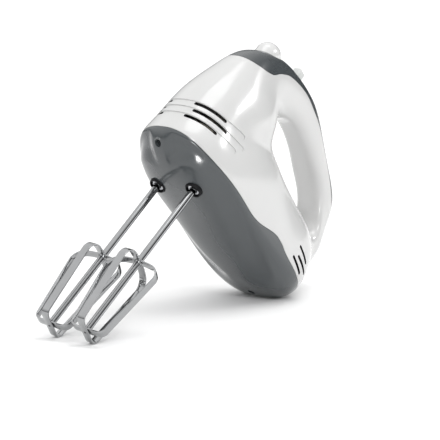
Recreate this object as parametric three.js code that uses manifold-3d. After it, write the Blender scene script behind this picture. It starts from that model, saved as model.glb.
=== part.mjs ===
// Hand mixer with two whisk beaters, standing on the heel of its housing and the tips of its beaters.
// Millimetres, +Z up. The mixer is drawn upright in its own frame, with the beaters hanging along -Z, the
// nose towards -Y and the middle of the two beater sockets at the origin, and is then leant forward.
import * as THREE from 'three';
import { mergeVertices } from 'three/addons/utils/BufferGeometryUtils.js';
import Module from 'manifold-3d';

const wasm = await Module();
wasm.setup();

// ---- driving dimensions -------------------------------------------------------------------------
const LEAN = THREE.MathUtils.degToRad(53.2);
const FLOOR_TO_SOCKETS = 100.5;
const CENTRE_SHIFT_Y = 24.68;
const CLEARANCE = 0.4;
const WALL = 2.2;

const BEATER_SPACING = 36;
const BEATER_REACH = 150.5;
const BEATER_SHAFT_RADIUS = 2.65;
const WHISK_LENGTH = 71.3;
const WHISK_RADIUS = 21.7;
const WHISK_FOOT_RADIUS = 14.7;
const BAND_WIDTH = 6;
const BAND_THICKNESS = 1.2;
// Both whisks stand turned this far, so that their bands pass each other where the loops overlap.
const WHISK_TURN = 11;

const WORM_PITCH_RADIUS = 4.5;
const GEAR_TEETH = 20;
const GEAR_PITCH_RADIUS = BEATER_SPACING / 2 - WORM_PITCH_RADIUS;
const TOOTH_PITCH = (2 * Math.PI * GEAR_PITCH_RADIUS) / GEAR_TEETH;
const GEAR_FACE = 8;
const MOTOR_AXIS_Z = 36;
const SHAFT_RADIUS = 2.5;

// Body outline, nose to heel and back over the handle. Each station joins a point of the finger opening
// to a point of the outer profile: opening y, z, outer y, z, half width, how far out it is widest, and how
// square its outer side and its opening side are.
const STATIONS = [
  [78, 120, 70, 149.4, 13.5, 0.5, 2.3, 3.6],
  [58, 122.5, 48.5, 154.6, 12.8, 0.5, 2.4, 3.6],
  [45, 120.5, 23, 151.7, 13.1, 0.47, 2.8, 3.2],
  [36.5, 114, -3, 142.6, 14.2, 0.43, 3.3, 2.6],
  [33, 106, -27, 122.6, 18.7, 0.4, 2.8, 2.3],
  [33, 99, -39, 93, 25.7, 0.42, 2.3, 2.3],
  [35.5, 93.5, -46.4, 58.4, 31, 0.48, 2.3, 2.3],
  [40, 89.5, -47.6, 23.7, 33.5, 0.55, 2.3, 2.3],
  [47, 86.5, -41.8, 4.4, 36.8, 0.64, 2.6, 2.3],
  [57, 84, -8.2, -3.5, 41.3, 0.74, 2.8, 2.3],
  [72, 82, 36.3, -1.5, 41, 0.76, 2.6, 2.3],
  [92, 81, 80.6, 1, 40.5, 0.72, 2.5, 2.3],
  [110, 80, 123.3, 9.4, 38.9, 0.66, 2.7, 2.3],
  [123, 80.5, 144.6, 24.8, 28, 0.6, 3, 2.3],
  [130, 85, 150.6, 52.9, 17.1, 0.55, 2.5, 2.6],
  [130, 93, 152.1, 77.1, 14.5, 0.52, 2.3, 3.2],
  [122, 102, 145.7, 98.8, 13.4, 0.5, 2.3, 3.6],
  [110, 110, 133.5, 121.2, 14, 0.5, 2.3, 3.8],
  [95, 115.5, 102.5, 135.4, 14.3, 0.5, 2.3, 3.8],
];
// Joint between the two housing halves, and the lower edge of the grip cover, seen from the side (y, z).
const SEAM = [[-70, 17], [-30, 12.5], [18, 15], [48, 17.5], [72, 27], [84, 28.5], [105, 27], [175, 31]];
const COVER_EDGE = [[-45, 106], [-22, 112], [-6, 119.5], [4, 131], [16, 140], [38, 146], [56, 144.5],
  [74, 140.5], [108, 126], [134, 113]];

// ---- materials ----------------------------------------------------------------------------------
const material = (color, roughness, metalness) =>
  new THREE.MeshStandardMaterial({ color, roughness, metalness });
const WHITE = material(0xebebe8, 0.25, 0);
const GREY = material(0x55595c, 0.4, 0);
const PALE = material(0xd9dadb, 0.35, 0);
const BLACK = material(0x17181a, 0.5, 0);
const CHROME = material(0xd5d7da, 0.12, 1);
const STEEL = material(0x9fa3a8, 0.35, 1);
const IRON = material(0x5b5e63, 0.55, 1);
const COPPER = material(0xb36a35, 0.35, 1);
const BRASS = material(0xc9a24e, 0.35, 1);
const NYLON = material(0xe6e1cf, 0.5, 0);
const BOARD = material(0x2f6b3a, 0.6, 0);
const CARBON = material(0x2b2b2d, 0.7, 0);

// ---- solids and meshes --------------------------------------------------------------------------
const root = new THREE.Group();
const mixer = new THREE.Group();
mixer.rotation.x = -LEAN;
mixer.position.set(0, -CENTRE_SHIFT_Y, FLOOR_TO_SOCKETS);
root.add(mixer);

function solid(geometry) {
  geometry.deleteAttribute('normal');
  geometry.deleteAttribute('uv');
  const merged = mergeVertices(geometry, 1e-4);
  return new wasm.Manifold(new wasm.Mesh({
    numProp: 3,
    vertProperties: new Float32Array(merged.attributes.position.array),
    triVerts: new Uint32Array(merged.index.array),
  }));
}

function add(name, shape, finish) {
  const mesh = shape.getMesh();
  const geometry = new THREE.BufferGeometry();
  geometry.setAttribute('position', new THREE.BufferAttribute(mesh.vertProperties, 3));
  geometry.setIndex(new THREE.BufferAttribute(mesh.triVerts, 1));
  geometry.computeVertexNormals();
  const node = new THREE.Mesh(geometry, finish);
  node.name = name;
  mixer.add(node);
  return node;
}

const union = (...shapes) => shapes.reduce((a, b) => a.add(b));
const cut = (shape, ...tools) => tools.reduce((a, b) => a.subtract(b), shape);

function box(x, y, z, width, depth, height) {
  return solid(new THREE.BoxGeometry(width, depth, height).translate(x, y, z));
}

// Round bar from z0 to z1 around a vertical axis at x, y.
function post(x, y, z0, z1, radius, sides = 24) {
  const bar = new THREE.CylinderGeometry(radius, radius, z1 - z0, sides).rotateX(Math.PI / 2);
  return solid(bar.translate(x, y, (z0 + z1) / 2));
}

// Round bar from y0 to y1 around the motor axis, or around an axis beside it.
function bar(y0, y1, radius, sides = 24, x = 0, z = MOTOR_AXIS_Z) {
  const rod = new THREE.CylinderGeometry(radius, radius, y1 - y0, sides);
  return solid(rod.translate(x, (y0 + y1) / 2, z));
}

// Turned solid around a vertical axis; the profile is radius, z pairs from the bottom axis to the top.
function turned(x, y, profile, sides = 24) {
  const points = profile.map(([r, z]) => new THREE.Vector2(r, z));
  return solid(new THREE.LatheGeometry(points, sides).rotateX(Math.PI / 2).translate(x, y, 0));
}

// A side view outline (y, z) made into a slab that crosses the mixer from left to right.
function slab(outline, x0, x1) {
  const shape = new THREE.Shape(outline.map(([y, z]) => new THREE.Vector2(y, z)));
  const sheet = new THREE.ExtrudeGeometry(shape, { depth: x1 - x0, bevelEnabled: false, steps: 1 });
  const toSide = new THREE.Matrix4().makeBasis(
    new THREE.Vector3(0, 1, 0), new THREE.Vector3(0, 0, 1), new THREE.Vector3(1, 0, 0));
  return solid(sheet.applyMatrix4(toSide).translate(x0, 0, 0));
}

// A plan outline (x, y) made into a plate between z0 and z1.
function plate(outline, z0, z1) {
  const shape = new THREE.Shape(outline.map(([x, y]) => new THREE.Vector2(x, y)));
  const sheet = new THREE.ExtrudeGeometry(shape, { depth: z1 - z0, bevelEnabled: false, steps: 1 });
  return solid(sheet.translate(0, 0, z0));
}

function smoothLine(points, steps) {
  const curve = new THREE.CatmullRomCurve3(points.map(([y, z]) => new THREE.Vector3(y, z, 0)));
  return curve.getPoints(steps).map((p) => [p.x, p.y]);
}

// ---- body skin ----------------------------------------------------------------------------------
// Control values of the closed cubic spline that runs through all the stations.
function splineControls(stations) {
  const count = stations.length;
  let controls = stations.map((row) => [...row]);
  for (let pass = 0; pass < 40; pass++) {
    controls = stations.map((row, i) => row.map((value, k) =>
      (6 * value - controls[(i + count - 1) % count][k] - controls[(i + 1) % count][k]) / 4));
  }
  return controls;
}

function stationAt(controls, place) {
  const count = controls.length;
  const i = Math.floor(place);
  const t = place - i;
  const weights = [
    (1 - t) ** 3,
    3 * t ** 3 - 6 * t ** 2 + 4,
    -3 * t ** 3 + 3 * t ** 2 + 3 * t + 1,
    t ** 3,
  ];
  return controls[0].map((_, k) => weights.reduce((sum, weight, j) =>
    sum + (weight / 6) * controls[(i + count + j - 1) % count][k], 0));
}

const smoothStep = (value, low, high) => THREE.MathUtils.smoothstep(value, low, high);

// How deep the base is hollowed at its two front corners, beside the front screw and before the sockets.
function cornerHollow(x, y, z) {
  const lobeFront = -24 + 0.03 * (Math.abs(x) - 17) ** 2;
  const beside = smoothStep(Math.abs(x), 4, 13) * (1 - smoothStep(Math.abs(x), 24, 36));
  const before = smoothStep(lobeFront - y, -2, 9);
  return beside * before * (1 - smoothStep(z, 5, 13));
}

// Closed skin around the finger opening, drawn in by `inset` from the outer surface.
function skin(inset, ringCount, sideCount) {
  const ALONG = 2 / 2.3;
  const HOLLOW_DEPTH = 3.4;
  const controls = splineControls(STATIONS);
  const positions = [];
  const index = [];
  for (let i = 0; i < ringCount; i++) {
    const place = (i / ringCount) * STATIONS.length;
    const [openY, openZ, outerY, outerZ, halfWidth, widest, outerSquare, openSquare] =
      stationAt(controls, place);
    const reach = Math.hypot(outerY - openY, outerZ - openZ);
    const margin = inset / reach;
    for (let j = 0; j < sideCount; j++) {
      const angle = (j / sideCount) * 2 * Math.PI;
      const outside = Math.cos(angle) > 0;
      const power = 2 / (outside ? outerSquare : openSquare);
      const along = Math.sign(Math.cos(angle)) * Math.abs(Math.cos(angle)) ** (outside ? ALONG : power);
      const across = Math.sign(Math.sin(angle)) * Math.abs(Math.sin(angle)) ** power;
      const raw = along > 0 ? widest + (1 - widest) * along : widest + widest * along;
      const t = margin + (1 - 2 * margin) * raw;
      const y = openY + t * (outerY - openY);
      const z = openZ + t * (outerZ - openZ);
      const x = across * (halfWidth - inset);
      positions.push(x, y, z + HOLLOW_DEPTH * cornerHollow(x, y, z));
      const a = i * sideCount + j;
      const b = i * sideCount + ((j + 1) % sideCount);
      const c = ((i + 1) % ringCount) * sideCount + j;
      const d = ((i + 1) % ringCount) * sideCount + ((j + 1) % sideCount);
      index.push(a, c, b, b, c, d);
    }
  }
  const geometry = new THREE.BufferGeometry();
  geometry.setAttribute('position', new THREE.Float32BufferAttribute(positions, 3));
  geometry.setIndex(index);
  return solid(geometry);
}

const outerSkin = skin(0, 57, 26);
const cavity = skin(WALL, 38, 16);

const FAR = 60;
const seamLine = smoothLine(SEAM, 28);
const shifted = (line, dz) => line.map(([y, z]) => [y, z + dz]);
const below = (line, dz) =>
  slab([...shifted(line, dz), [line.at(-1)[0], -FAR], [line[0][0], -FAR]], -FAR, FAR);
const coverLine = smoothLine(COVER_EDGE, 30);
const coverEnd = [COVER_EDGE.at(-1)[0] + 18, COVER_EDGE.at(-1)[1] + 26];
const aboveCover = (dz) => slab([...shifted(coverLine, dz), coverEnd, [60, 200], [-60, 170]], -FAR, FAR);

// Space under the surface that the mixer stands on; it trims the heel to a small flat foot.
function underFloor() {
  const DEPTH = 40;
  const block = new THREE.BoxGeometry(100, 400, DEPTH).translate(0, 0, -FLOOR_TO_SOCKETS - DEPTH / 2);
  return solid(block.rotateX(LEAN));
}

// ---- lower housing ------------------------------------------------------------------------------
const SOCKET_RADIUS = 6.6;
const FRONT_SCREW = { y: -40, z: 8 };
const REAR_SCREW = { y: 127, z: 15 };
const SCREW_HEAD_RADIUS = 2.4;
const SCREW_POST_RADIUS = 5;
const sides = [['left', 1], ['right', -1]];
const axisX = (side) => (side * BEATER_SPACING) / 2;

function lowerHousing() {
  const shell = outerSkin.intersect(below(seamLine, 0)).subtract(cavity);
  const frontPost = post(0, FRONT_SCREW.y, FRONT_SCREW.z - 2, 15, SCREW_POST_RADIUS, 16);
  const rearPost = post(0, REAR_SCREW.y, REAR_SCREW.z - 1, 27, SCREW_POST_RADIUS, 16);
  const posts = union(frontPost, rearPost).intersect(outerSkin).intersect(below(seamLine, 0));
  const sockets = sides.map(([, side]) => post(axisX(side), 0, -FAR, 9, SOCKET_RADIUS + CLEARANCE));
  const screwHoles = [FRONT_SCREW, REAR_SCREW].flatMap(({ y, z }) => [
    post(0, y, -FAR, z + 3, SCREW_HEAD_RADIUS + CLEARANCE, 16),
    post(0, y, -FAR, FAR, 1.5 + CLEARANCE, 12),
  ]);
  return cut(union(shell, posts), underFloor(), ...sockets, ...screwHoles);
}
add('lower_housing', lowerHousing(), GREY);

// ---- upper housing ------------------------------------------------------------------------------
// Air slots: three bands on each side of the nose and three on each side of the heel.
const NOSE_SLOTS = [[23, 44.6], [25.8, 38], [23.6, 30.4]];
const HEEL_SLOTS = [[112, 43.6], [117.5, 37.4], [112, 32.2]];
const NOSE_SLOT_LENGTH = 16.5;
const HEEL_SLOT_LENGTH = 21;
const SLOT_HEIGHT = 1.8;

function airSlots() {
  const slots = HEEL_SLOTS.map(([y, z]) => box(0, y, z, 2 * FAR, HEEL_SLOT_LENGTH, SLOT_HEIGHT));
  for (const [, side] of sides) {
    for (const [x, z] of NOSE_SLOTS) {
      const band = new THREE.BoxGeometry(NOSE_SLOT_LENGTH, 40, SLOT_HEIGHT).rotateY(side * -0.12);
      slots.push(solid(band.translate(side * x, -40, z)));
    }
  }
  return slots;
}

function upperHousing() {
  const shell = cut(outerSkin, below(seamLine, CLEARANCE), aboveCover(-CLEARANCE), cavity);
  const posts = union(
    post(0, FRONT_SCREW.y, 10, 60, SCREW_POST_RADIUS, 16),
    box(0, FRONT_SCREW.y - 6, 38, 3, 14, 40),
    post(0, REAR_SCREW.y, 20, 50, SCREW_POST_RADIUS, 16),
    box(0, REAR_SCREW.y + 12, 42, 3, 26, 14),
  ).intersect(outerSkin);
  const joined = union(shell, cut(posts, below(seamLine, CLEARANCE)));
  const screwBores = [FRONT_SCREW, REAR_SCREW].map(({ y }) => post(0, y, -FAR, 40, 1.5 + CLEARANCE, 12));
  const inlet = bar(130, 200, 5 + CLEARANCE, 20, 0, 56);
  return cut(joined, ...airSlots(), ...screwBores, inlet);
}
add('upper_housing', upperHousing(), WHITE);
const inletRing = bar(140, 200, 5, 20, 0, 56).subtract(bar(130, 210, 3, 16, 0, 56));
add('cord_inlet', inletRing.intersect(outerSkin), BLACK);

// ---- grip cover, eject button and speed slider --------------------------------------------------
// The button is a long dome whose length follows the slope of the cover.
const BUTTON = { y: -7, z: 138.5, foot: 124, halfWidth: 8.8, postHalfLength: 12.2 };
const DOME = { halfLength: 12.5, height: 10.5, slope: 0.5 };
const SLIDER = { y: 29, length: 8.5, width: 7, travel: 20, top: 160.5 };

// Upright oval post that the dome stands on, made larger all round by `margin`.
function buttonPost(z0, z1, margin) {
  const round = new THREE.CylinderGeometry(1, 1, z1 - z0, 36).rotateX(Math.PI / 2);
  round.scale(BUTTON.halfWidth + margin, BUTTON.postHalfLength + margin, 1);
  return solid(round.translate(0, BUTTON.y, (z0 + z1) / 2));
}

function gripCover() {
  const shell = outerSkin.intersect(aboveCover(0)).subtract(cavity);
  const buttonHole = buttonPost(100, 200, CLEARANCE);
  const sliderSlot = box(0, SLIDER.y + SLIDER.travel / 2, 155, SLIDER.width + 2 * CLEARANCE,
    SLIDER.length + SLIDER.travel + 2 * CLEARANCE, 20);
  return cut(shell, buttonHole, sliderSlot);
}
add('grip_cover', gripCover(), GREY);

function ejectButton() {
  const dome = new THREE.SphereGeometry(1, 32, 20).rotateX(Math.PI / 2);
  dome.scale(BUTTON.halfWidth, DOME.halfLength, DOME.height).rotateX(DOME.slope);
  const above = box(0, BUTTON.y, BUTTON.z + 50, 60, 60, 100);
  const cap = solid(dome.translate(0, BUTTON.y, BUTTON.z)).intersect(above);
  return cap.add(buttonPost(BUTTON.foot, BUTTON.z, 0));
}
add('eject_button', ejectButton(), PALE);

const YOKE_TOP = BUTTON.foot - CLEARANCE;
const YOKE_FOOT = 60;
const yoke = union(
  post(0, BUTTON.y, YOKE_FOOT, YOKE_TOP, 3, 16),
  box(0, -2, YOKE_FOOT + 2, BEATER_SPACING + 8, 14, 4),
  post(0, BUTTON.y, 112, 115, 7, 20),
);
add('eject_yoke', yoke, NYLON);

function ejectSpring() {
  const TURNS = 5;
  const SEAT = 95;
  const HEIGHT = 14;
  class Helix extends THREE.Curve {
    getPoint(t, target = new THREE.Vector3()) {
      const angle = t * TURNS * 2 * Math.PI;
      return target.set(5 * Math.cos(angle), 5 * Math.sin(angle) + BUTTON.y, SEAT + 2 + HEIGHT * t);
    }
  }
  const wire = new THREE.Shape().absarc(0, 0, 0.6, 0, 2 * Math.PI);
  return solid(new THREE.ExtrudeGeometry(wire, {
    extrudePath: new Helix(), steps: TURNS * 12, curveSegments: 3, bevelEnabled: false }));
}
add('eject_spring', ejectSpring(), STEEL);

const springSeat = box(0, BUTTON.y, 94, 26, 20, 3).subtract(post(0, BUTTON.y, 80, 110, 3.6, 20));
add('spring_seat', springSeat, NYLON);

const sliderKnob = union(
  box(0, SLIDER.y, (SLIDER.top + 146) / 2, SLIDER.width, SLIDER.length, SLIDER.top - 146),
  box(0, SLIDER.y + 2, 145.2, 11, 16, 2),
);
add('speed_slider', sliderKnob, PALE);
add('speed_switch', box(0, 38, 137, 14, 30, 12), BLACK);

// ---- spindles and worm drive --------------------------------------------------------------------
const SPINDLE_RADIUS = 4.6;
const SPINDLE_BORE = 3.2;
const SPINDLE_TOP = 53;
const SHANK_TOP = 38;
const TOOTH_HEIGHT = 1.1;
const WORM_LENGTH = 24;
const LEAD_SLOPE = TOOTH_PITCH / (2 * Math.PI * WORM_PITCH_RADIUS);

// Helical gear with the worm's lead, turned so that its teeth stand in the gaps of the worm's thread.
function driveGear(x, phase) {
  const outline = [];
  const step = (2 * Math.PI) / GEAR_TEETH;
  for (let tooth = 0; tooth < GEAR_TEETH; tooth++) {
    for (const [offset, rise] of [[-0.22, -1.3], [-0.085, 1], [0.085, 1], [0.22, -1.3]]) {
      const radius = GEAR_PITCH_RADIUS + rise * TOOTH_HEIGHT;
      const angle = (tooth + offset) * step;
      outline.push(new THREE.Vector2(radius * Math.cos(angle), radius * Math.sin(angle)));
    }
  }
  const blank = new THREE.ExtrudeGeometry(new THREE.Shape(outline), {
    depth: GEAR_FACE, steps: 3, bevelEnabled: false });
  const twistPerHeight = LEAD_SLOPE / GEAR_PITCH_RADIUS;
  const place = blank.attributes.position;
  for (let i = 0; i < place.count; i++) {
    const height = place.getZ(i) - GEAR_FACE / 2;
    const point = new THREE.Vector2(place.getX(i), place.getY(i));
    point.rotateAround(new THREE.Vector2(), phase - height * twistPerHeight);
    place.setXYZ(i, x + point.x, point.y, MOTOR_AXIS_Z + height);
  }
  return solid(blank).subtract(post(x, 0, 0, 80, SPINDLE_RADIUS + CLEARANCE, 24));
}

function worm() {
  const CORE = WORM_PITCH_RADIUS - 1.3 * TOOTH_HEIGHT;
  const TIP = WORM_PITCH_RADIUS + TOOTH_HEIGHT;
  const STEPS_PER_TURN = 18;
  const turns = (WORM_LENGTH - 4) / TOOTH_PITCH;
  const steps = Math.round(turns * STEPS_PER_TURN);
  const section = [[CORE - 0.5, -0.95], [TIP, -0.34], [TIP, 0.34], [CORE - 0.5, 0.95]];
  const positions = [];
  const index = [];
  for (let i = 0; i <= steps; i++) {
    const angle = ((i - steps / 2) / STEPS_PER_TURN) * 2 * Math.PI;
    for (const [radius, dy] of section) {
      const y = (angle / (2 * Math.PI)) * TOOTH_PITCH + dy;
      positions.push(radius * Math.cos(angle), y, MOTOR_AXIS_Z - radius * Math.sin(angle));
    }
  }
  for (let i = 0; i < steps; i++) {
    for (let j = 0; j < 4; j++) {
      const a = 4 * i + j;
      const b = 4 * i + ((j + 1) % 4);
      index.push(a, a + 4, b, b, a + 4, b + 4);
    }
  }
  const last = 4 * steps;
  index.push(0, 1, 2, 0, 2, 3, last, last + 2, last + 1, last, last + 3, last + 2);
  const thread = new THREE.BufferGeometry();
  thread.setAttribute('position', new THREE.Float32BufferAttribute(positions, 3));
  thread.setIndex(index);
  const core = bar(-WORM_LENGTH / 2, WORM_LENGTH / 2, CORE, STEPS_PER_TURN);
  return core.add(solid(thread)).subtract(bar(-40, 40, SHAFT_RADIUS + 0.15, 20));
}
add('drive_worm', worm(), STEEL);

for (const [name, side] of sides) {
  const x = axisX(side);
  const halfTooth = side > 0 ? Math.PI / GEAR_TEETH : 0;
  add(`${name}_drive_gear`, driveGear(x, halfTooth), NYLON);
  const flange = post(x, 0, 27, 30.5, 6.5);
  const tube = union(post(x, 0, -3, SPINDLE_TOP, SPINDLE_RADIUS), flange);
  add(`${name}_spindle`, tube.subtract(post(x, 0, -10, 70, SPINDLE_BORE)), STEEL);
  const bushBore = post(x, 0, -10, 20, SPINDLE_RADIUS + CLEARANCE);
  add(`${name}_socket_bush`, post(x, 0, -4.6, 8.6, SOCKET_RADIUS).subtract(bushBore), BLACK);
  add(`${name}_push_pin`, post(x, 0, SHANK_TOP + CLEARANCE, YOKE_FOOT - CLEARANCE, 2.8, 16), STEEL);
}

const gearFrame = cut(
  union(
    box(0, -1, 46.5, 58, 28, 4),
    box(0, -17, 38, 18, 4, 21),
  ),
  ...sides.map(([, side]) => post(axisX(side), 0, 40, 60, SPINDLE_RADIUS + CLEARANCE)),
  bar(-30, -10, SHAFT_RADIUS + CLEARANCE, 20),
);
add('gear_frame', gearFrame, NYLON);

// ---- motor --------------------------------------------------------------------------------------
const ROTOR_RADIUS = 13.6;
const STATOR_BORE = 14.6;
const CORE_START = 44;
const CORE_END = 72;
const FAN = { start: 26, end: 33, radius: 23 };
const COMMUTATOR = { start: 82, end: 93, radius: 8 };

add('motor_shaft', bar(-19.5, 106, SHAFT_RADIUS - 0.2, 20), STEEL);

function bracket(y, halfWidth) {
  const BEARING_RADIUS = 5.5;
  const sheet = box(0, y, MOTOR_AXIS_Z, 2 * halfWidth, 3, 40);
  return sheet.subtract(bar(y - 5, y + 5, BEARING_RADIUS + CLEARANCE));
}
const bearing = (y) => bar(y - 3, y + 3, 5.5).subtract(bar(y - 5, y + 5, SHAFT_RADIUS + 0.15, 20));
add('front_motor_bracket', bracket(19, 24), IRON);
add('front_bearing', bearing(19), BRASS);
add('rear_motor_bracket', bracket(100, 22), IRON);
add('rear_bearing', bearing(100), BRASS);

const bored = (shape) => shape.subtract(bar(-30, 120, SHAFT_RADIUS + 0.15, 20));

function coolingFan() {
  const BLADES = 7;
  const blades = [];
  for (let i = 0; i < BLADES; i++) {
    const blade = new THREE.BoxGeometry(FAN.radius - 6, 5.5, 1.4).rotateX(0.7);
    blade.translate((FAN.radius + 6) / 2, 0, 0).rotateY((i / BLADES) * 2 * Math.PI);
    blades.push(solid(blade.translate(0, (FAN.start + FAN.end) / 2, MOTOR_AXIS_Z)));
  }
  return bored(union(bar(FAN.start, FAN.end, 7), ...blades));
}
add('cooling_fan', coolingFan(), BLACK);

function armatureCore() {
  const SLOTS = 12;
  const slots = [];
  for (let i = 0; i < SLOTS; i++) {
    const slot = new THREE.BoxGeometry(2.2, 40, 6).translate(0, 0, ROTOR_RADIUS - 1);
    slot.rotateY((i / SLOTS) * 2 * Math.PI);
    slots.push(solid(slot.translate(0, (CORE_START + CORE_END) / 2, MOTOR_AXIS_Z)));
  }
  return bored(cut(bar(CORE_START + 0.5, CORE_END - 0.5, ROTOR_RADIUS, 36), ...slots));
}
add('armature_core', armatureCore(), IRON);
for (const [name, start, end] of [['front', 37, CORE_START], ['rear', CORE_END, 79]]) {
  const coil = union(bar(start, end, 9, 20), bar(start + 1.5, end - 1.5, 11.5, 20));
  add(`armature_winding_${name}`, bored(coil), COPPER);
}
add('commutator', bored(bar(COMMUTATOR.start, COMMUTATOR.end, COMMUTATOR.radius, 24)), COPPER);

function statorCore() {
  const laminations = box(0, (CORE_START + CORE_END) / 2, MOTOR_AXIS_Z, 50, CORE_END - CORE_START, 42);
  const coilSlots = sides.flatMap(([, side]) => [1, -1].map((level) =>
    box(side * 16.5, 58, MOTOR_AXIS_Z + level * 6, 9, 40, 9)));
  return cut(laminations, bar(20, 90, STATOR_BORE, 36), ...coilSlots);
}
add('stator_core', statorCore(), IRON);

// Field coil: two straight sides through the core's slots, joined by an arch at each end.
function fieldCoil(level) {
  const INNER = 15.2;
  const OUTER = 20;
  const ends = [[CORE_START - 5.4, CORE_START - CLEARANCE], [CORE_END + CLEARANCE, CORE_END + 5.4]];
  const arches = ends.map(([y0, y1]) => bar(y0, y1, OUTER, 32)
    .subtract(bar(y0 - 1, y1 + 1, INNER, 32))
    .subtract(box(0, 58, MOTOR_AXIS_Z - level * 48, 100, 100, 100)));
  const runs = [1, -1].map((side) =>
    box(side * 17.5, 58, MOTOR_AXIS_Z + level * 6, 4.6, CORE_END - CORE_START + 6, 7));
  return union(...arches, ...runs);
}
add('upper_field_coil', fieldCoil(1), COPPER);
add('lower_field_coil', fieldCoil(-1), COPPER);

const BRUSH_Y = (COMMUTATOR.start + COMMUTATOR.end) / 2;
for (const [name, side] of sides) {
  const inner = COMMUTATOR.radius + CLEARANCE;
  add(`${name}_brush`, box(side * (inner + 5), BRUSH_Y, MOTOR_AXIS_Z, 10, 5, 5), CARBON);
  const holder = box(side * 17, BRUSH_Y, MOTOR_AXIS_Z, 12, 8, 8);
  add(`${name}_brush_holder`, holder.subtract(box(side * 14, BRUSH_Y, MOTOR_AXIS_Z, 20, 5.8, 5.8)), BRASS);
}

add('circuit_board', box(0, 119, 60, 24, 22, 1.6), BOARD);
add('noise_capacitor', box(0, 119, 64.5, 12, 14, 6.6), COPPER);

// ---- screws -------------------------------------------------------------------------------------
for (const [name, { y, z }] of [['front', FRONT_SCREW], ['rear', REAR_SCREW]]) {
  const headTop = z + 3 - 0.3;
  const head = post(0, y, headTop - 2.2, headTop, SCREW_HEAD_RADIUS, 16);
  const shank = post(0, y, headTop - 1, headTop + 20, 1.5, 12);
  const cross = [box(0, y, headTop - 2.2, 3, 0.7, 1.6), box(0, y, headTop - 2.2, 0.7, 3, 1.6)];
  add(`${name}_housing_screw`, cut(union(head, shank), ...cross), STEEL);
}

// ---- beaters ------------------------------------------------------------------------------------
// One whisk band: out from the shaft, round the shoulder, down the taper and under the foot.
function whiskBand(x, turn, drop) {
  const top = -(BEATER_REACH - WHISK_LENGTH);
  const foot = -BEATER_REACH + BAND_THICKNESS / 2 + drop;
  const start = BEATER_SHAFT_RADIUS + 0.7;
  const arm = new THREE.CurvePath();
  const v = (r, z) => new THREE.Vector3(r, z, 0);
  arm.add(new THREE.LineCurve3(v(start, top), v(11, top - 0.8)));
  arm.add(new THREE.QuadraticBezierCurve3(v(11, top - 0.8), v(20.5, top - 2), v(WHISK_RADIUS, top - 11)));
  arm.add(new THREE.LineCurve3(v(WHISK_RADIUS, top - 11), v(WHISK_FOOT_RADIUS, foot + 4)));
  arm.add(new THREE.QuadraticBezierCurve3(v(WHISK_FOOT_RADIUS, foot + 4), v(13.6, foot), v(9, foot)));
  arm.add(new THREE.LineCurve3(v(9, foot), v(0, foot)));
  const line = arm.getPoints(4).filter((p, i, all) => i === 0 || p.distanceTo(all[i - 1]) > 0.4);
  const rim = (offset) => line.map((p, i) => {
    const before = line[Math.max(i - 1, 0)];
    const after = line[Math.min(i + 1, line.length - 1)];
    const along = new THREE.Vector3().subVectors(after, before).normalize();
    return [p.x - along.y * offset, p.y + along.x * offset];
  });
  const mirrored = (points) => points.map(([r, z]) => [-r, z]).reverse();
  const half = BAND_THICKNESS / 2;
  const outside = rim(half);
  const inside = rim(-half);
  const outline = [...outside, ...mirrored(outside).slice(1), ...[...mirrored(inside)].reverse(),
    ...[...inside].reverse().slice(1)];
  return slab(outline, -BAND_WIDTH / 2, BAND_WIDTH / 2).rotate([0, 0, turn]).translate([x, 0, 0]);
}

for (const [name, side] of sides) {
  const x = axisX(side);
  const shaftFoot = -BEATER_REACH + 2 * BAND_THICKNESS + 0.8;
  add(`${name}_beater_shaft`, post(x, 0, shaftFoot, SHANK_TOP, BEATER_SHAFT_RADIUS, 20), CHROME);
  add(`${name}_beater_outer_band`, whiskBand(x, WHISK_TURN, 0), CHROME);
  add(`${name}_beater_inner_band`, whiskBand(x, WHISK_TURN + 90, BAND_THICKNESS + 0.35), CHROME);
}

export default root;
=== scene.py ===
"""Looks of the hand mixer: fine body shells, chrome whisks, controls, materials, floor, light and camera.

Lengths in the mixer's own frame are in millimetres: beaters along -Z, nose towards -Y, and the middle of
the two beater sockets at the origin. TO_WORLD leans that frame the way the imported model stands.
"""
import math

import bmesh
import bpy
import numpy as np
from mathutils import Matrix, Vector
from mathutils.bvhtree import BVHTree


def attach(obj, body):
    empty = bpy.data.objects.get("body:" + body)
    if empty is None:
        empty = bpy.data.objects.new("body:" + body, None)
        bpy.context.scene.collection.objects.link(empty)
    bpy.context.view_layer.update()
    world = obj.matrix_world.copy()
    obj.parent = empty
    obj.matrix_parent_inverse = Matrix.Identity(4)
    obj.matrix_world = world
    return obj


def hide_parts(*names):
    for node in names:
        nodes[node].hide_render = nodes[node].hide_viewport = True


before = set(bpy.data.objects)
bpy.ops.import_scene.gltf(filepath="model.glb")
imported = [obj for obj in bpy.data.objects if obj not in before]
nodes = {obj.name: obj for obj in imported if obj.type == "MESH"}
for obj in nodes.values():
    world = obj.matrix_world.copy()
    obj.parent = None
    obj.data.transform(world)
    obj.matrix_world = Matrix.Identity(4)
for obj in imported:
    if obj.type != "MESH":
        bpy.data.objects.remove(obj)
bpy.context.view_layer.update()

MM = 0.001
LEAN = math.radians(53.2)
SOCKETS_AT = Vector((0, -0.02468, 0.1005))
TO_WORLD = Matrix.Translation(SOCKETS_AT) @ Matrix.Rotation(-LEAN, 4, "X") @ Matrix.Scale(MM, 4)
GAP = 0.35
CLEARANCE = 0.4
WALL = 2.2

CAMERA_AT = (1.19, -1.3446, 0.3783)
CAMERA_BACK = (0.6468, -0.7436, 0.169)
CAMERA_RIGHT = (0.7553, 0.6554, -0.0078)
CAMERA_LENS = 195.9


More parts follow.
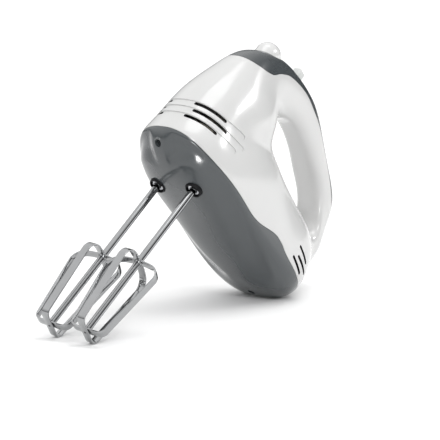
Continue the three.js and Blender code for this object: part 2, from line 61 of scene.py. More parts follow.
# ---- camera -------------------------------------------------------------------------------------
def make_camera():
    data = bpy.data.cameras.new("camera")
    data.lens = CAMERA_LENS
    data.sensor_width = 36
    data.clip_end = 60
    back = Vector(CAMERA_BACK).normalized()
    right = Vector(CAMERA_RIGHT).normalized()
    up = back.cross(right).normalized()
    right = up.cross(back)
    camera = bpy.data.objects.new("camera", data)
    camera.matrix_world = Matrix.Translation(CAMERA_AT) @ Matrix(
        (right, up, back)).transposed().to_4x4()
    bpy.context.scene.collection.objects.link(camera)
    bpy.context.scene.camera = camera


make_camera()


# ---- materials ----------------------------------------------------------------------------------
def new_material(name, colour, roughness, metallic=0.0):
    """A principled material; returns it with its node tree and its shader."""
    material = bpy.data.materials.new(name)
    material.use_nodes = True
    tree = material.node_tree
    shader = tree.nodes["Principled BSDF"]
    shader.inputs["Base Color"].default_value = (*colour, 1)
    shader.inputs["Roughness"].default_value = roughness
    shader.inputs["Metallic"].default_value = metallic
    return material, tree, shader


def noise(tree, scale, detail=2.0, stretch=(1, 1, 1)):
    """Noise over the object's own coordinates, which are metres; returns its value socket."""
    place = tree.nodes.new("ShaderNodeTexCoord")
    mapping = tree.nodes.new("ShaderNodeMapping")
    mapping.inputs["Scale"].default_value = stretch
    texture = tree.nodes.new("ShaderNodeTexNoise")
    texture.inputs["Scale"].default_value = scale
    texture.inputs["Detail"].default_value = detail
    tree.links.new(place.outputs["Object"], mapping.inputs["Vector"])
    tree.links.new(mapping.outputs["Vector"], texture.inputs["Vector"])
    return texture.outputs["Fac"]


def vary(tree, value, low, high, target):
    """Drives a shader's number from noise, between low and high."""
    spread = tree.nodes.new("ShaderNodeMapRange")
    spread.inputs["From Min"].default_value = 0.3
    spread.inputs["From Max"].default_value = 0.7
    spread.inputs["To Min"].default_value = low
    spread.inputs["To Max"].default_value = high
    tree.links.new(value, spread.inputs["Value"])
    tree.links.new(spread.outputs["Result"], target)


def tint(tree, value, dark, light, target):
    """Drives a colour from noise, between two close tones."""
    ramp = tree.nodes.new("ShaderNodeValToRGB")
    ramp.color_ramp.elements[0].position = 0.35
    ramp.color_ramp.elements[0].color = (*dark, 1)
    ramp.color_ramp.elements[1].position = 0.65
    ramp.color_ramp.elements[1].color = (*light, 1)
    tree.links.new(value, ramp.inputs["Fac"])
    tree.links.new(ramp.outputs["Color"], target)


def grain(tree, shader, value, strength, distance):
    bump = tree.nodes.new("ShaderNodeBump")
    bump.inputs["Strength"].default_value = strength
    bump.inputs["Distance"].default_value = distance
    tree.links.new(value, bump.inputs["Height"])
    tree.links.new(bump.outputs["Normal"], shader.inputs["Normal"])


def plastic(name, colour, roughness, grain_size, grain_depth, spread=0.04, coat=0.0, shine=0.5):
    """Moulded plastic: a soft drift of tone, uneven polish and the fine grain of the mould."""
    material, tree, shader = new_material(name, colour, roughness)
    shader.inputs["Specular IOR Level"].default_value = shine
    shader.inputs["Coat Weight"].default_value = coat
    shader.inputs["Coat Roughness"].default_value = 0.06
    dark = tuple(c * (1 - spread) for c in colour)
    light = tuple(min(1, c * (1 + spread)) for c in colour)
    tint(tree, noise(tree, 22), dark, light, shader.inputs["Base Color"])
    vary(tree, noise(tree, 60, 4), roughness * 0.88, roughness * 1.14, shader.inputs["Roughness"])
    grain(tree, shader, noise(tree, 1 / grain_size, 3), 0.35, grain_depth)
    return material


def metal(name, colour, roughness, stretch=(1, 1, 1), depth=0.00001, spread=0.3):
    """Polished or drawn metal with faint streaks along its length."""
    material, tree, shader = new_material(name, colour, roughness, 1.0)
    dark = tuple(c * 0.94 for c in colour)
    tint(tree, noise(tree, 90, 3), dark, colour, shader.inputs["Base Color"])
    streaks = noise(tree, 260, 4, stretch)
    vary(tree, streaks, roughness * (1 - spread), roughness * (1 + spread), shader.inputs["Roughness"])
    if depth:
        grain(tree, shader, streaks, 0.2, depth)
    return material


WHITE = plastic("white_gloss_plastic", (0.505, 0.505, 0.501), 0.2, 0.0011, 0.00003, 0.012, 0.4)
SLATE = plastic("slate_plastic", (0.043, 0.049, 0.0525), 0.2, 0.0006, 0.000012, 0.05, 0.4)
PEARL = plastic("pearl_button_plastic", (0.54, 0.54, 0.536), 0.16, 0.0012, 0.00002, 0.015, 0.4)
PALE = plastic("pale_slider_plastic", (0.52, 0.53, 0.52), 0.34, 0.0007, 0.00004, 0.03)
# Black plastic for the real black parts; the same material on the cut walls of the air slots is painted
# shade.
BLACK = plastic("black_plastic", (0.006, 0.006, 0.007), 0.5, 0.0006, 0.00005, 0.2, shine=0.15)
RUBBER = plastic("black_rubber", (0.018, 0.018, 0.018), 0.7, 0.0005, 0.00006, 0.2)
NYLON = plastic("nylon", (0.72, 0.69, 0.60), 0.45, 0.0008, 0.00004, 0.05)
BOARD = plastic("circuit_board_green", (0.03, 0.16, 0.06), 0.5, 0.0009, 0.00003, 0.15)
CARBON = plastic("carbon", (0.02, 0.02, 0.021), 0.65, 0.0004, 0.00006, 0.25)
CHROME = metal("chrome", (0.33, 0.335, 0.34), 0.04, (1, 0.25, 0.25), 0, 0.03)
STEEL = metal("steel", (0.52, 0.53, 0.55), 0.3)
IRON = metal("iron_laminations", (0.20, 0.21, 0.22), 0.45, (1, 8, 1))
COPPER = metal("copper_winding", (0.72, 0.33, 0.15), 0.32, (9, 1, 1))
BRASS = metal("brass", (0.68, 0.50, 0.20), 0.3)

FINISHES = {
    WHITE: ["upper_housing"],
    SLATE: ["lower_housing", "grip_cover"],
    PEARL: ["eject_button"],
    PALE: ["speed_slider"],
    RUBBER: ["cord_inlet"],
    BLACK: ["left_socket_bush", "right_socket_bush", "speed_switch", "cooling_fan"],
    NYLON: ["eject_yoke", "spring_seat", "left_drive_gear", "right_drive_gear", "gear_frame"],
    BOARD: ["circuit_board"],
    CARBON: ["left_brush", "right_brush"],
    CHROME: [f"{side}_beater_{part}" for side in ("left", "right")
             for part in ("shaft", "outer_band", "inner_band")],
    STEEL: ["eject_spring", "drive_worm", "left_spindle", "right_spindle", "left_push_pin",
            "right_push_pin", "motor_shaft", "front_housing_screw", "rear_housing_screw"],
    IRON: ["front_motor_bracket", "rear_motor_bracket", "armature_core", "stator_core"],
    COPPER: ["armature_winding_front", "armature_winding_rear", "commutator", "upper_field_coil",
             "lower_field_coil", "noise_capacitor"],
    BRASS: ["front_bearing", "rear_bearing", "left_brush_holder", "right_brush_holder"],
}
for finish, names in FINISHES.items():
    for name in names:
        nodes[name].data.materials.clear()
        nodes[name].data.materials.append(finish)


# ---- meshes -------------------------------------------------------------------------------------
def make_object(name, points, faces):
    """A mesh object from points in the mixer's own frame, kept in that frame until place() is called."""
    mesh = bpy.data.meshes.new(name)
    mesh.from_pydata([tuple(p) for p in points], [], faces)
    mesh.update()
    piece = bpy.data.objects.new(name, mesh)
    bpy.context.scene.collection.objects.link(piece)
    return piece


def carve(piece, operation, *tools):
    """Joins, cuts or intersects piece with tools, in that order, and removes the tools."""
    for tool in tools:
        # A second material holds black, which a cutter leaves on its cut walls as painted slot shade.
        for mesh in (piece.data, tool.data):
            if not mesh.materials:
                mesh.materials.append(WHITE)
                mesh.materials.append(BLACK)
        modifier = piece.modifiers.new("carve", "BOOLEAN")
        modifier.operation = operation
        modifier.solver = "MANIFOLD"
        modifier.object = tool
        tool.hide_render = True
        shaped = bpy.data.meshes.new_from_object(
            piece.evaluated_get(bpy.context.evaluated_depsgraph_get()))
        piece.modifiers.clear()
        spent = piece.data
        piece.data = shaped
        bpy.data.meshes.remove(spent)
        spent = tool.data
        bpy.data.objects.remove(tool)
        bpy.data.meshes.remove(spent)
    return piece


def duplicate(piece, name):
    copy = piece.copy()
    copy.data = piece.data.copy()
    copy.name = name
    bpy.context.scene.collection.objects.link(copy)
    return copy


def soften(piece, width, segments):
    """Rounds a piece's sharp edges."""
    modifier = piece.modifiers.new("soften", "BEVEL")
    modifier.width = width
    modifier.segments = segments
    modifier.limit_method = "ANGLE"
    modifier.angle_limit = math.radians(50)
    shaped = bpy.data.meshes.new_from_object(
        piece.evaluated_get(bpy.context.evaluated_depsgraph_get()))
    piece.modifiers.clear()
    piece.data = shaped
    return piece


def place(piece, body, slot, material, *replaced):
    """Moves a finished piece into the row frame, and says what it rides on and stands for."""
    mesh = piece.data
    indices = [p.material_index for p in mesh.polygons]
    mesh.materials.clear()
    mesh.materials.append(material)
    # The black second material stays on cut slot walls as painted shade.
    if any(indices):
        mesh.materials.append(BLACK)
    mesh.polygons.foreach_set("material_index", indices)
    mesh.transform(TO_WORLD)
    mesh.shade_smooth()
    mesh.set_sharp_from_angle(angle=math.radians(35))
    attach(piece, body)
    if replaced:
        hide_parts(*replaced)
    return piece


def lathe(name, x, y, profile, sides):
    """A closed turned solid around a vertical axis; the profile is radius, z pairs, a closed loop where
    it never reaches the axis."""
    on_axis = profile[0][0] == 0
    ring = profile[1:-1] if on_axis else profile
    points = []
    for radius, z in ring:
        for k in range(sides):
            angle = 2 * math.pi * k / sides
            points.append((x + radius * math.cos(angle), y + radius * math.sin(angle), z))
    faces = []
    rows = len(ring)
    for row in range(rows - 1 if on_axis else rows):
        for k in range(sides):
            after = (k + 1) % sides
            low, high = row * sides, ((row + 1) % rows) * sides
            faces.append((low + k, low + after, high + after, high + k))
    if on_axis:
        points += [(x, y, profile[0][1]), (x, y, profile[-1][1])]
        first, last = len(points) - 2, len(points) - 1
        top = (rows - 1) * sides
        for k in range(sides):
            after = (k + 1) % sides
            faces.append((first, after, k))
            faces.append((last, top + k, top + after))
    piece = make_object(name, points, faces)
    outward(piece)
    return piece


def outward(piece):
    """Turns all faces of a closed mesh outwards."""
    bm = bmesh.new()
    bm.from_mesh(piece.data)
    bmesh.ops.recalc_face_normals(bm, faces=bm.faces)
    bm.to_mesh(piece.data)
    bm.free()
    piece.data.update()
    return piece


def sweep(name, rings):
    """A solid through equal rings of points, capped at both ends."""
    count = len(rings[0])
    points = [p for ring in rings for p in ring]
    faces = []
    for i in range(len(rings) - 1):
        a, b = i * count, (i + 1) * count
        for k in range(count):
            after = (k + 1) % count
            faces.append((a + k, a + after, b + after, b + k))
    faces.append(tuple(reversed(range(count))))
    faces.append(tuple(range(len(points) - count, len(points))))
    return outward(make_object(name, points, faces))


def smooth_line(points, steps):
    """A Catmull-Rom curve through points of any dimension, with equal steps in each span."""
    points = [np.array(p, float) for p in points]
    padded = [2 * points[0] - points[1], *points, 2 * points[-1] - points[-2]]
    line = []
    for a, b, c, d in zip(padded, padded[1:], padded[2:], padded[3:]):
        for k in range(steps):
            t = k / steps
            line.append(0.5 * (2 * b + (c - a) * t + (2 * a - 5 * b + 4 * c - d) * t * t
                               + (3 * b - a - 3 * c + d) * t ** 3))
    line.append(points[-1])
    return line


def slab(name, outline):
    """A side view outline (y, z) made into a solid across the mixer."""
    rings = [[(x, y, z) for y, z in outline] for x in (-70, 70)]
    return sweep(name, rings)


# ---- body skin ----------------------------------------------------------------------------------
OUTER_ALONG = 2 / 2.3
# Nose to heel and back over the handle: opening y, z, outer y, z, half width, how far out it is widest,
# and how square its outer side and its opening side are.
STATIONS = [
    (78, 120, 70, 149.4, 13.5, 0.5, 2.3, 3.6),
    (58, 122.5, 48.5, 154.6, 12.8, 0.5, 2.4, 3.6),
    (45, 120.5, 23, 151.7, 13.1, 0.47, 2.8, 3.2),
    (36.5, 114, -3, 142.6, 14.2, 0.43, 3.3, 2.6),
    (33, 106, -27, 122.6, 18.7, 0.4, 2.8, 2.3),
    (33, 99, -39, 93, 25.7, 0.42, 2.3, 2.3),
    (35.5, 93.5, -46.4, 58.4, 31, 0.48, 2.3, 2.3),
    (40, 89.5, -47.6, 23.7, 33.5, 0.55, 2.3, 2.3),
    (47, 86.5, -41.8, 4.4, 36.8, 0.64, 2.6, 2.3),
    (57, 84, -8.2, -3.5, 41.3, 0.74, 2.8, 2.3),
    (72, 82, 36.3, -1.5, 41, 0.76, 2.6, 2.3),
    (92, 81, 80.6, 1, 40.5, 0.72, 2.5, 2.3),
    (110, 80, 123.3, 9.4, 38.9, 0.66, 2.7, 2.3),
    (123, 80.5, 144.6, 24.8, 28, 0.6, 3, 2.3),
    (130, 85, 150.6, 52.9, 17.1, 0.55, 2.5, 2.6),
    (130, 93, 152.1, 77.1, 14.5, 0.52, 2.3, 3.2),
    (122, 102, 145.7, 98.8, 13.4, 0.5, 2.3, 3.6),
    (110, 110, 133.5, 121.2, 14, 0.5, 2.3, 3.8),
    (95, 115.5, 102.5, 135.4, 14.3, 0.5, 2.3, 3.8),
]
# Joint between the housing halves, and the lower edge of the grip strip, seen from the side: y, z.
SEAM = [(-70, 17), (-30, 12.5), (18, 15), (48, 17.5), (72, 27), (84, 28.5), (105, 27), (175, 31)]
COVER_EDGE = [(-45, 106), (-22, 112), (-6, 119.5), (4, 131), (16, 140), (38, 146), (56, 144.5),
              (74, 140.5), (108, 126), (134, 113)]


def spline_controls():
    """Control values of the closed cubic spline through all the stations."""
    values = np.array(STATIONS, float)
    controls = values.copy()
    for _ in range(40):
        controls = (6 * values - np.roll(controls, 1, 0) - np.roll(controls, -1, 0)) / 4
    return controls


def skin_points(inset, rings, sides):
    """A grid of points over the body, drawn in by inset from its surface."""
    controls = spline_controls()
    count = len(controls)
    place = np.arange(rings) / rings * count
    base = np.floor(place).astype(int)
    t = place - base
    weights = ((1 - t) ** 3, 3 * t ** 3 - 6 * t ** 2 + 4, -3 * t ** 3 + 3 * t ** 2 + 3 * t + 1, t ** 3)
    rows = sum(w[:, None] / 6 * controls[(base + j - 1) % count] for j, w in enumerate(weights))
    open_y, open_z, outer_y, outer_z, half, widest, square, inner = (rows[:, k, None] for k in range(8))
    angle = (np.arange(sides) / sides * 2 * np.pi)[None]
    outside = np.cos(angle) > 0
    power = np.where(outside, 2 / square, 2 / inner)
    along = np.sign(np.cos(angle)) * np.abs(np.cos(angle)) ** np.where(outside, OUTER_ALONG, 2 / inner)
    across = np.sign(np.sin(angle)) * np.abs(np.sin(angle)) ** power
    raw = np.where(along > 0, widest + (1 - widest) * along, widest + widest * along)
    margin = inset / np.hypot(outer_y - open_y, outer_z - open_z)
    share = margin + (1 - 2 * margin) * raw
    x = across * (half - inset)
    return np.stack([x, open_y + share * (outer_y - open_y), open_z + share * (outer_z - open_z)], -1)


def step(value, low, high):
    """Rises smoothly from 0 at low to 1 at high."""
    t = np.clip((value - low) / (high - low), 0, 1)
    return t * t * (3 - 2 * t)


HOLLOW_DEPTH = 3.4
FOLD_SLOPE = 0.28
CREASE_RADIUS = 1.5
# Half width of the flat underside at five places from the sockets to the heel.
CREASE_Y = (-7, 15, 40, 75, 102)
CREASE_X = (29.4, 27.7, 25, 17.7, 8)


def relief(points):
    """Two hollows in the front corners of the base, which leave a spine with the screw between them and
    a round lobe around each socket behind them, and a crease along both edges of the flat underside."""
    x, y, z = np.abs(points[..., 0]), points[..., 1], points[..., 2]
    lobe_front = -24 + 0.03 * (x - 17) ** 2
    beside_spine = step(x, 4, 13) * (1 - step(x, 29, 38))
    hollow = beside_spine * step(lobe_front - y, -2, 9) * (1 - step(z, 5, 13))
    past_crease = x - np.interp(y, CREASE_Y, CREASE_X)
    fold = (past_crease + np.sqrt(past_crease ** 2 + CREASE_RADIUS ** 2)) / 2
    on_base = step(y, -22, -8) * (1 - step(y, 100, 125)) * (1 - step(z, 4, 13))
    shaped = points.copy()
    shaped[..., 2] += HOLLOW_DEPTH * hollow + FOLD_SLOPE * fold * on_base
    return shaped


def skin(name, inset, rings, sides):
    """The closed body surface, drawn in by inset, with the relief of the base."""
    grid = relief(skin_points(inset, rings, sides))
    index = np.arange(rings * sides).reshape(rings, sides)
    ahead = np.roll(index, -1, 0)
    faces = np.stack([index, ahead, np.roll(ahead, -1, 1), np.roll(index, -1, 1)], -1).reshape(-1, 4)
    return outward(make_object(name, grid.reshape(-1, 3), faces.tolist()))


def surface_of(piece):
    mesh = piece.data
    return BVHTree.FromPolygons([v.co for v in mesh.vertices], [p.vertices[:] for p in mesh.polygons])


def surface_tool(name, tree, points, half_width, depth):
    """A round-ended cutter along the surface: half_width to each side, depth below the surface."""
    rise, flare, blunt = 3, 1.12, 0.04
    near = [tree.find_nearest(Vector(p)) for p in refined_line(points, half_width)]
    middle = [hit[0] for hit in near]
    normal = [hit[1] for hit in near]
    length = [0.0]
    for a, b in zip(middle, middle[1:]):
        length.append(length[-1] + (b - a).length)
    rings = []
    for i, (spot, out) in enumerate(zip(middle, normal)):
        ahead = (middle[min(i + 1, len(middle) - 1)] - middle[max(i - 1, 0)]).normalized()
        side = ahead.cross(out).normalized()
        out = side.cross(ahead).normalized()
        to_end = min(length[i], length[-1] - length[i])
        width = half_width
        if to_end < half_width:
            width = half_width * math.sqrt(max(blunt, 1 - (1 - to_end / half_width) ** 2))
        corners = ((-width, -depth), (width, -depth), (width * flare, rise), (-width * flare, rise))
        rings.append([tuple(spot + side * across + out * height) for across, height in corners])
    return sweep(name, rings)


def refined_line(points, half_width):
    """Adds close points near both ends of a line, so that its cutter's ends come out round."""
    line = smooth_line(points, 12)
    first, second, last, before = line[0], line[1], line[-1], line[-2]
    ahead = (second - first) / np.linalg.norm(second - first)
    behind = (before - last) / np.linalg.norm(before - last)
    offsets = [half_width * share for share in (0, 0.05, 0.15, 0.3, 0.5, 0.75)]
    start = [first + ahead * d for d in offsets]
    end = [last + behind * d for d in reversed(offsets)]
    clear = half_width * 1.1
    inner = [p for p in line[1:-1]
             if np.linalg.norm(p - first) > clear and np.linalg.norm(p - last) > clear]
    return start + inner + end


def below(name, dz):
    """Everything under the seam, moved up by dz."""
    line = [(y, z + dz) for y, z in smooth_line(SEAM, 16)]
    return slab(name, [*line, (line[-1][0], -60), (line[0][0], -60)])


def above_cover(name, dz):
    """Everything over the grip strip's lower edge, moved up by dz."""
    line = [(y, z + dz) for y, z in smooth_line(COVER_EDGE, 16)]
    end = (COVER_EDGE[-1][0] + 18, COVER_EDGE[-1][1] + 26)
    return slab(name, [*line, end, (60, 200), (-60, 170)])


def rod(name, x, y, z0, z1, radius, sides=48):
    """An upright round bar from z0 to z1."""
    return lathe(name, x, y, [(0, z0), (radius, z0), (radius, z1), (0, z1)], sides)


def block(name, x, y, z, width, depth, height):
    rings = [[(x + sx * width / 2, y + sy * depth / 2, z + sz * height / 2)
              for sx, sy in ((-1, -1), (1, -1), (1, 1), (-1, 1))] for sz in (-1, 1)]
    return sweep(name, rings)


SPACING = 36
SOCKET_RADIUS = 6.6

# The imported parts' own sizes. Each screw has a y and a z, and its well ends WELL_RISE above that z.
FRONT_SCREW = (-40, 8)
REAR_SCREW = (127, 15)
WELL_RISE = 3
WELL_RADIUS = 2.8
WELL_WALL = 1.2
SCREW_HOLE_RADIUS = 1.7
FLOOR_DEPTH = 40
FLOOR_TO_SOCKETS = 100.5
INLET_RADIUS = 5.4
INLET_Z = 56
BUTTON_Y = -7
BUTTON_FOOT = 124
BUTTON_HALF_WIDTH = 8.8
BUTTON_HALF_LENGTH = 12.2
DOME_FOOT = 138.5
DOME_HALF_LENGTH = 12.5
DOME_HEIGHT = 10.5
DOME_SLOPE = 0.5
SLIDER_Y = 29
SLIDER_SIZE = (7, 8.5)
SLIDER_TRAVEL = 20
TRACK_HALF_WIDTH = 1.9
TRACK_DEPTH = 0.65
SLOT_HALF_WIDTH = 1.3
HEEL_SLOT_HALF_WIDTH = 1.1
SLOT_DEPTH = 5

# Shallow tracks around the nose, from their round end on the left side to the middle, with an air slot
# between the second point and the third: x, y, z.
NOSE_BANDS = [
    [(35.9, -4.3, 51.3), (31.6, -25.5, 46.2), (10.8, -44.6, 43.1), (0, -46.8, 42.6)],
    [(38.8, -0.7, 42.8), (34.6, -21, 39.5), (13.2, -44, 36.6), (0, -47, 36)],
    [(39.6, -6.5, 34.5), (33.3, -27.5, 31.4), (10.4, -45.3, 29.4), (0, -47.2, 29)],
]
# Air slots by the heel, on the left side.
HEEL_SLOTS = [
    [(39.3, 102.9, 44.8), (37.7, 121.5, 42.2)],
    [(40.1, 106.7, 37.7), (35.8, 128.3, 37)],
    [(40.4, 102, 33), (38.3, 121.4, 31.2)],
]


def button_post(name, z0, z1, margin):
    """Upright oval post under the dome, made larger all round by margin."""
    post = rod(name, 0, 0, z0, z1, 1, 72)
    wide, long = BUTTON_HALF_WIDTH + margin, BUTTON_HALF_LENGTH + margin
    post.data.transform(Matrix.Translation((0, BUTTON_Y, 0)) @ Matrix.Diagonal((wide, long, 1, 1)))
    return post


def paint_slot_shade(tool):
    """Gives a cutter the black material, which stays on the walls that it cuts as painted shade for the
    dark inside of the slots.
    """
    tool.data.materials.clear()
    tool.data.materials.append(WHITE)
    tool.data.materials.append(BLACK)
    tool.data.polygons.foreach_set("material_index", [1] * len(tool.data.polygons))
    return tool


def mirrored(points):
    return [(-x, y, z) for x, y, z in points]


def build_body():
    body = skin("body", 0, 34 * len(STATIONS), 230)
    tree = surface_of(body)
    carve(body, "DIFFERENCE", skin("hollow", WALL, 16 * len(STATIONS), 120))
    lower = duplicate(body, "base_shell")
    cover = duplicate(body, "grip_strip")
    upper = body
    upper.name = "white_shell"

    # Upper housing: tracks and air slots, cord opening.
    carve(upper, "DIFFERENCE", below("seam_cut", GAP), above_cover("cover_cut", -GAP))
    for band in NOSE_BANDS:
        track = [*band, *reversed(mirrored(band[:-1]))]
        carve(upper, "DIFFERENCE", surface_tool("track", tree, track, TRACK_HALF_WIDTH, TRACK_DEPTH))
        for side in (band, mirrored(band)):
            # The nose slot's cut walls are painted black: painted shade for the dark inside of the slot.
            tool = surface_tool("nose_slot", tree, side[1:3], SLOT_HALF_WIDTH, SLOT_DEPTH)
            carve(upper, "DIFFERENCE", paint_slot_shade(tool))
    for line in HEEL_SLOTS:
        for side in (line, mirrored(line)):
            # The heel slot's cut walls are painted black: painted shade for the dark inside of the slot.
            tool = surface_tool("heel_slot", tree, side, HEEL_SLOT_HALF_WIDTH, SLOT_DEPTH)
            carve(upper, "DIFFERENCE", paint_slot_shade(tool))
    inlet = rod("inlet_cut", 0, 0, 130, 200, INLET_RADIUS)
    inlet.data.transform(Matrix.Translation((0, 0, INLET_Z)) @ Matrix.Rotation(-math.pi / 2, 4, "X"))
    carve(upper, "DIFFERENCE", inlet)

    # Lower housing: sockets, screw wells and the flat of the heel.
    carve(lower, "INTERSECT", below("seam_keep", 0))
    for side in (1, -1):
        socket = rod("socket_cut", side * SPACING / 2, 0, -20, 12, SOCKET_RADIUS + CLEARANCE)
        carve(lower, "DIFFERENCE", socket)
    for y, _ in (FRONT_SCREW, REAR_SCREW):
        carve(lower, "DIFFERENCE", rod("well_cut", 0, y, -20, 20, WELL_RADIUS + 0.05))
    under_floor = block("under_floor", 0, 0, -FLOOR_TO_SOCKETS - FLOOR_DEPTH / 2, 300, 500, FLOOR_DEPTH)
    under_floor.data.transform(Matrix.Rotation(LEAN, 4, "X"))
    carve(lower, "DIFFERENCE", under_floor)

    # Grip strip: button hole and slider slot.
    carve(cover, "INTERSECT", above_cover("cover_keep", 0))
    carve(cover, "DIFFERENCE", button_post("button_cut", 100, 200, CLEARANCE))
    width, length = (size + 2 * CLEARANCE for size in SLIDER_SIZE)
    track = block("slider_cut", 0, SLIDER_Y + SLIDER_TRAVEL / 2, 155, width, length + SLIDER_TRAVEL, 20)
    carve(cover, "DIFFERENCE", track)
    place(upper, "housing", "white_housing", WHITE, "upper_housing")
    place(lower, "housing", "slate_plastic", SLATE, "lower_housing")
    place(cover, "housing", "slate_plastic", SLATE, "grip_cover")
    return tree


skin_tree = build_body()


# ---- screw wells and sockets --------------------------------------------------------------------
def screw_well(name, screw):
    """A cup from just inside the base to the screw's seat, with a hole for the screw."""
    y, floor = screw[0], screw[1] + WELL_RISE
    mouth = skin_tree.ray_cast(Vector((0, y, -60)), Vector((0, 0, 1)))[0].z + WELL_WALL
    wall, top = WELL_RADIUS + WELL_WALL, floor + 1.5
    cup = [(WELL_RADIUS, mouth), (wall, mouth), (wall, top), (SCREW_HOLE_RADIUS, top),
           (SCREW_HOLE_RADIUS, floor), (WELL_RADIUS, floor)]
    place(lathe(name, 0, y, cup, 48), "housing", "slate_plastic", SLATE)


screw_well("front_screw_well", FRONT_SCREW)
screw_well("rear_screw_well", REAR_SCREW)


def socket_bush(name, x, node):
    """Ring around a beater: rounded lip, cone inside, and two key notches beside the shaft."""
    outside, inside = SOCKET_RADIUS, 5.0
    top, lip = 8.6, -4.6
    profile = [(inside, top), (outside, top), (outside, lip + 0.7), (outside - 0.25, lip + 0.2),
               (outside - 0.8, lip), (outside - 1.0, lip + 0.3), (inside, -1)]
    bush = lathe(name, x, 0, profile, 64)
    carve(bush, "DIFFERENCE", block("notch", x, 0, -4, 2 * outside - 1.2, 2.4, 8))
    place(bush, "housing", "black_plastic", BLACK, node)


for side_name, side in (("left", 1), ("right", -1)):
    socket_bush(f"{side_name}_socket_ring", side * SPACING / 2, f"{side_name}_socket_bush")


# ---- eject button and speed slider ---------------------------------------------------------------
def eject_button():
    """A long dome that leans with the strip, on an upright oval stem."""
    bm = bmesh.new()
    bmesh.ops.create_uvsphere(bm, u_segments=72, v_segments=48, radius=1)
    faces = [[v.index for v in face.verts] for face in bm.faces]
    dome = make_object("button_dome", [v.co[:] for v in bm.verts], faces)
    bm.free()
    shape = Matrix.Diagonal((BUTTON_HALF_WIDTH, DOME_HALF_LENGTH, DOME_HEIGHT, 1))
    dome.data.transform(Matrix.Translation((0, BUTTON_Y, DOME_FOOT))
                        @ Matrix.Rotation(DOME_SLOPE, 4, "X") @ shape)
    outward(dome)
    carve(dome, "INTERSECT", block("above", 0, BUTTON_Y, DOME_FOOT + 50, 60, 60, 100))
    carve(dome, "UNION", button_post("stem", BUTTON_FOOT, DOME_FOOT + 0.01, 0))
    place(dome, "eject", "pale_plastic", PEARL, "eject_button")


def speed_slider():
    """A softened knob on a wider shoe, which keeps it under the strip."""
    width, length = SLIDER_SIZE
    knob = block("slider_knob", 0, SLIDER_Y, 153.2, width, length, 14.5)
    soften(knob, 1.1, 4)
    shoe = soften(block("shoe", 0, SLIDER_Y + 2, 145.2, 11, 16, 2), 0.3, 2)
    carve(knob, "UNION", shoe)
    place(knob, "slider", "pale_plastic", PALE, "speed_slider")


eject_button()
speed_slider()


# ---- beaters ------------------------------------------------------------------------------------
REACH = 150.5
WHISK_LENGTH = 71.3
WHISK_RADIUS = 21.7
FOOT_RADIUS = 14.7
BAND_WIDTH = 6
BAND_THICKNESS = 1.2
SHAFT_RADIUS = 2.65
WHISK_TURN = 11
SHANK_TOP = 38


def bezier(a, b, c, steps):
    """A quadratic curve from a to c, without its last point."""
    return [((1 - t) ** 2 * a[0] + 2 * t * (1 - t) * b[0] + t * t * c[0],
             (1 - t) ** 2 * a[1] + 2 * t * (1 - t) * b[1] + t * t * c[1])
            for t in (k / steps for k in range(steps))]


def band_line(drop):
    """Half of a whisk band in its own plane, from the shaft to under the foot: radius, z."""
    top = -(REACH - WHISK_LENGTH)
    foot = -REACH + BAND_THICKNESS / 2 + drop
    shoulder, ankle, flat = top - 11, foot + 4, 9
    line = [(SHAFT_RADIUS - 0.5, top + 0.3)]
    line += bezier((SHAFT_RADIUS + 0.7, top), (7, top - 0.2), (11, top - 0.8), 4)
    line += bezier((11, top - 0.8), (20.5, top - 2), (WHISK_RADIUS, shoulder), 14)
    line += [(WHISK_RADIUS + (FOOT_RADIUS - WHISK_RADIUS) * k / 8, shoulder + (ankle - shoulder) * k / 8)
             for k in range(8)]
    line += bezier((FOOT_RADIUS, ankle), (13.6, foot), (flat, foot), 10)
    line += [(flat * (1 - k / 4), foot) for k in range(5)]
    return line


def whisk_band(name, x, turn, drop):
    """A bent strip with rounded edges, turned about the shaft, with a hole where the bands cross."""
    half = band_line(drop)
    line = half + [(-r, z) for r, z in reversed(half[:-1])]
    corner = 0.28
    wide, thick = BAND_WIDTH / 2, BAND_THICKNESS / 2
    section = []
    for sx, sy, start in ((1, 1, 0), (-1, 1, 90), (-1, -1, 180), (1, -1, 270)):
        for k in range(3):
            angle = math.radians(start + 45 * k)
            section.append((sx * (wide - corner) + corner * math.cos(angle),
                            sy * (thick - corner) + corner * math.sin(angle)))
    rings = []
    for i, (r, z) in enumerate(line):
        before, after = line[max(i - 1, 0)], line[min(i + 1, len(line) - 1)]
        ahead = Vector((after[0] - before[0], after[1] - before[1])).normalized()
        rings.append([(across, r - ahead.y * out, z + ahead.x * out) for across, out in section])
    band = sweep(name, rings)
    band.data.transform(Matrix.Translation((x, 0, 0)) @ Matrix.Rotation(math.radians(turn), 4, "Z"))
    carve(band, "DIFFERENCE", rod("crossing_hole", x, 0, -REACH - 2, -REACH + 5, 0.9, 24))
    return band


def beater(side_name, side):
    x = side * SPACING / 2
    body = f"{side_name}_beater"
    for part, turn, drop in (("outer_band", 0, 0), ("inner_band", 90, BAND_THICKNESS + 0.35)):
        band = whisk_band(f"{side_name}_whisk_{part}", x, WHISK_TURN + turn, drop)
        place(band, body, "beater_chrome", CHROME, f"{side_name}_beater_{part}")
    foot = -REACH + 2 * BAND_THICKNESS + 0.8
    weld = -(REACH - WHISK_LENGTH)
    profile = [(0, foot), (SHAFT_RADIUS - 0.5, foot), (SHAFT_RADIUS, foot + 0.5),
               (SHAFT_RADIUS, weld - 1.6), (SHAFT_RADIUS + 0.5, weld - 1), (SHAFT_RADIUS + 0.6, weld),
               (SHAFT_RADIUS + 0.5, weld + 1), (SHAFT_RADIUS, weld + 1.6), (SHAFT_RADIUS, SHANK_TOP - 0.6),
               (SHAFT_RADIUS - 0.6, SHANK_TOP), (0, SHANK_TOP)]
    place(lathe(f"{side_name}_whisk_shaft", x, 0, profile, 48), body, "beater_chrome", CHROME,
          f"{side_name}_beater_shaft")


beater("left", 1)
beater("right", -1)


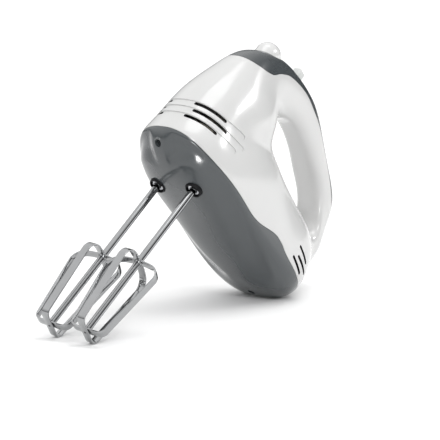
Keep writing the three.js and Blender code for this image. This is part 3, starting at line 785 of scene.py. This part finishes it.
# ---- floor and light ----------------------------------------------------------------------------
def make_floor():
    """A pale sheet wide enough to fill the whole view."""
    material, tree, shader = new_material("floor", (0.9, 0.9, 0.9), 0.55)
    tint(tree, noise(tree, 3), (0.88, 0.88, 0.88), (0.9, 0.9, 0.9), shader.inputs["Base Color"])
    size = 14
    mesh = bpy.data.meshes.new("floor")
    corners = [(-size, -size, 0), (size, -size, 0), (size, size, 0), (-size, size, 0)]
    mesh.from_pydata(corners, [], [(0, 1, 2, 3)])
    mesh.materials.append(material)
    floor = bpy.data.objects.new("floor", mesh)
    bpy.context.scene.collection.objects.link(floor)


def area_light(name, at, towards, width, height, power):
    data = bpy.data.lights.new(name, "AREA")
    data.shape = "RECTANGLE"
    data.size = width
    data.size_y = height
    data.energy = power
    lamp = bpy.data.objects.new(name, data)
    lamp.location = at
    lamp.rotation_euler = (Vector(towards) - Vector(at)).to_track_quat("-Z", "Y").to_euler()
    bpy.context.scene.collection.objects.link(lamp)


def sun(name, towards, strength, angle):
    data = bpy.data.lights.new(name, "SUN")
    data.energy = strength
    data.angle = math.radians(angle)
    lamp = bpy.data.objects.new(name, data)
    lamp.rotation_euler = Vector(towards).to_track_quat("-Z", "Y").to_euler()
    bpy.context.scene.collection.objects.link(lamp)


make_floor()
sun("overhead", (-0.25, -0.2, -1), 0.8, 36)
sun("side", (-0.75, 0.45, -0.6), 0.55, 14)
area_light("back_strip", (1.42, 1.85, 0.98), (0.02, 0, 0.15), 0.9, 0.3, 19)
area_light("front_spot", (1.02, -1.16, 0.16), (0.02, -0.05, 0.11), 0.24, 0.24, 5)


def make_world():
    """A plain studio: bright overhead, darker towards the horizon and on one side, for contrast in the
    polished metal."""
    world = bpy.data.worlds.new("studio")
    world.use_nodes = True
    tree = world.node_tree
    direction = tree.nodes.new("ShaderNodeTexCoord")
    brightness = tree.nodes.new("ShaderNodeVectorMath")
    brightness.operation = "DOT_PRODUCT"
    brightness.inputs[1].default_value = (-0.17, -0.15, 1)
    ramp = tree.nodes.new("ShaderNodeValToRGB")
    ramp.color_ramp.elements[0].position = 0.1
    ramp.color_ramp.elements[0].color = (0.05, 0.053, 0.056, 1)
    ramp.color_ramp.elements[1].position = 0.75
    ramp.color_ramp.elements[1].color = (1, 1, 1, 1)
    tree.links.new(direction.outputs["Generated"], brightness.inputs[0])
    tree.links.new(brightness.outputs["Value"], ramp.inputs["Fac"])
    tree.links.new(ramp.outputs["Color"], tree.nodes["Background"].inputs["Color"])
    tree.nodes["Background"].inputs["Strength"].default_value = 1.35
    bpy.context.scene.world = world


make_world()
bpy.context.scene.view_settings.view_transform = "Standard"
